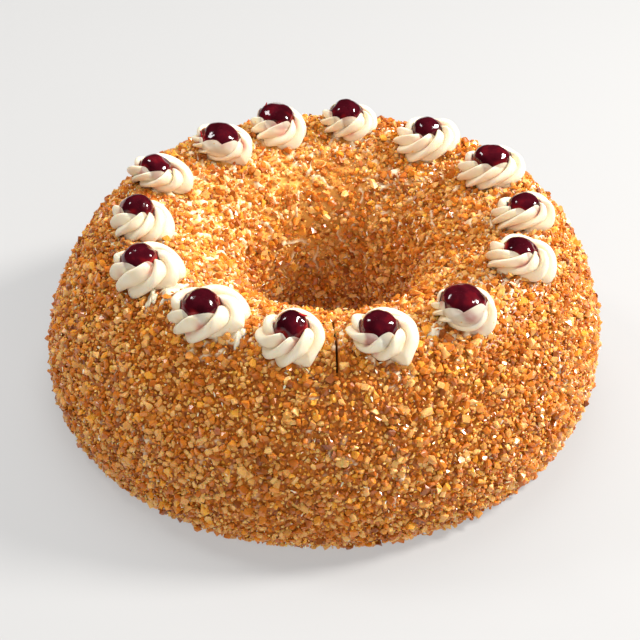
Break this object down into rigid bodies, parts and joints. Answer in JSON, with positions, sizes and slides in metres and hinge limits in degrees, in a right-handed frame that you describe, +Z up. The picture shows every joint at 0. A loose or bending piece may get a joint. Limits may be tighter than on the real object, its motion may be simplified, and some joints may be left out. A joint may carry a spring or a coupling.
{
  "type": "frankfurt crown cake",
  "caption": "Ring cake coated all over in chopped nut brittle, crowned with a wreath of piped buttercream rosettes, each holding a glossy pitted cherry.",
  "frame": {"origin": "middle of the cake's bounding box in plan, on the surface it stands on", "axes": "+Z up through the hole; the picture is taken from -Y, and +X is the picture's right"},
  "size_m": [0.2616, 0.264, 0.1068],
  "materials": {
    "brittle_coating": "rough golden-brown chopped nut brittle with a dull caramel shine; matte_plastic stands in for food",
    "buttercream": "smooth ivory buttercream, soft satin; matte_plastic stands in for food",
    "cherry_flesh": "dark burgundy pitted cherry, wet gloss; gloss_plastic stands in for food"
  },
  "bodies": {
    "root": {"cake_ring": "brittle_coating", "rosette_01": "buttercream", "rosette_02": "buttercream", "rosette_03": "buttercream", "rosette_04": "buttercream", "rosette_05": "buttercream", "rosette_06": "buttercream", "rosette_07": "buttercream", "rosette_08": "buttercream", "rosette_09": "buttercream", "rosette_10": "buttercream", "rosette_11": "buttercream", "rosette_12": "buttercream", "rosette_13": "buttercream", "rosette_14": "buttercream", "cherry_01": "cherry_flesh", "cherry_02": "cherry_flesh", "cherry_03": "cherry_flesh", "cherry_04": "cherry_flesh", "cherry_05": "cherry_flesh", "cherry_06": "cherry_flesh", "cherry_07": "cherry_flesh", "cherry_08": "cherry_flesh", "cherry_09": "cherry_flesh", "cherry_10": "cherry_flesh", "cherry_11": "cherry_flesh", "cherry_12": "cherry_flesh", "cherry_13": "cherry_flesh", "cherry_14": "cherry_flesh"}
  },
  "joints": []
}
